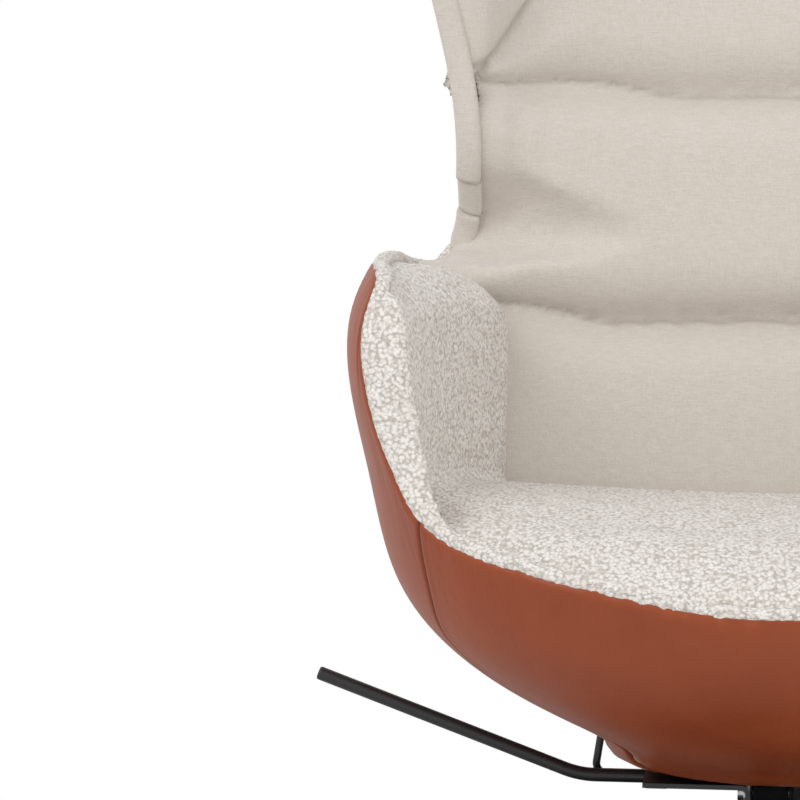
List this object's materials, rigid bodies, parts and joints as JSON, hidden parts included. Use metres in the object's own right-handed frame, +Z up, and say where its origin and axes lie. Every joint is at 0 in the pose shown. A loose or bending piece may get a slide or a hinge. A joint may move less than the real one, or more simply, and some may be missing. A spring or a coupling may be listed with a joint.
{
  "type": "swivel rocker",
  "caption": "Swivel rocking armchair: leather bucket shell with wings, knobbly cream seat and arms, channelled back, black round foot, rocking unit and lock lever.",
  "frame": {"origin": "on the floor, on the axis of the column, in the underside of the rubber sheet under the foot", "axes": "+Z up the column; the chair faces -Y; +X is the sitter's left, and the lock lever is on -X"},
  "size_m": [0.8503, 0.7681, 1.092],
  "materials": {
    "black_steel": "satin black powder coat",
    "black_fasteners": "black oxide",
    "bright_steel": "zinc plated",
    "carrier_iron": "black",
    "nylon": "natural nylon",
    "black_rubber": "matt",
    "brake_lining": "friction lining",
    "tan_leather": "cognac, satin, fine grain",
    "dust_cover": "black woven dust cover",
    "frame_ply": "moulded plywood",
    "boucle": "cream boucle, knobbly",
    "cream_cloth": "cream cloth, fine weave",
    "webbing": "elastic webbing"
  },
  "bodies": {
    "base": {"floor_pad": "black_rubber", "base_plate": "black_steel", "column_tube": "black_steel", "foot_bolts": "black_fasteners", "upper_bush": "nylon", "lower_bush": "nylon", "thrust_washer": "nylon"},
    "carrier": {"spindle": "bright_steel", "spindle_retainer": "bright_steel", "tilt_carrier": "carrier_iron", "brake_sector": "carrier_iron"},
    "chair": {"torsion_bush_left": "black_rubber", "torsion_bush_right": "black_rubber", "tilt_axle": "bright_steel", "axle_clips": "bright_steel", "seat_pan": "black_steel", "seat_bolts": "black_fasteners", "rock_stops": "black_rubber", "lever_bearing": "black_steel", "bearing_screws": "bright_steel", "lever_guide": "black_steel", "brake_barrel": "bright_steel", "leather_apron": "tan_leather", "leather_back": "tan_leather", "leather_side_left": "tan_leather", "leather_side_right": "tan_leather", "underside_cover": "dust_cover", "shell_bowl": "frame_ply", "back_frame": "frame_ply", "side_frame_left": "frame_ply", "side_frame_right": "frame_ply", "lumbar_pad": "cream_cloth", "middle_pad": "cream_cloth", "head_pad": "cream_cloth", "wing_pad_left": "cream_cloth", "wing_pad_right": "cream_cloth", "arm_pad_left": "boucle", "arm_pad_right": "boucle", "seat_cushion": "boucle", "seat_webbing": "webbing"},
    "lever": {"lever": "black_steel"},
    "brake_shoe": {"brake_shoe": "brake_lining"}
  },
  "joints": [
    {"name": "swivel", "type": "hinge", "parent": "base", "child": "carrier", "pos_m": [0, 0, 0.15], "axis": [0, 0, 1], "continuous": true},
    {"name": "rock", "type": "hinge", "parent": "carrier", "child": "chair", "pos_m": [0, 0, 0.208], "axis": [1, 0, 0], "range_deg": [-14, 6], "stiffness_Nm_per_rad": 700},
    {"name": "lock_lever", "type": "hinge", "parent": "chair", "child": "lever", "pos_m": [-0.15, 0.038, 0.211], "axis": [1, 0, 0], "range_deg": [0, 30]},
    {"name": "brake_slide", "type": "slide", "parent": "chair", "child": "brake_shoe", "axis": [1, 0, 0], "range_m": [0, 0.0008]}
  ],
  "couplings": [
    {"joint": "brake_slide", "follows": "lock_lever", "m_per_rad": 0.0015}
  ]
}
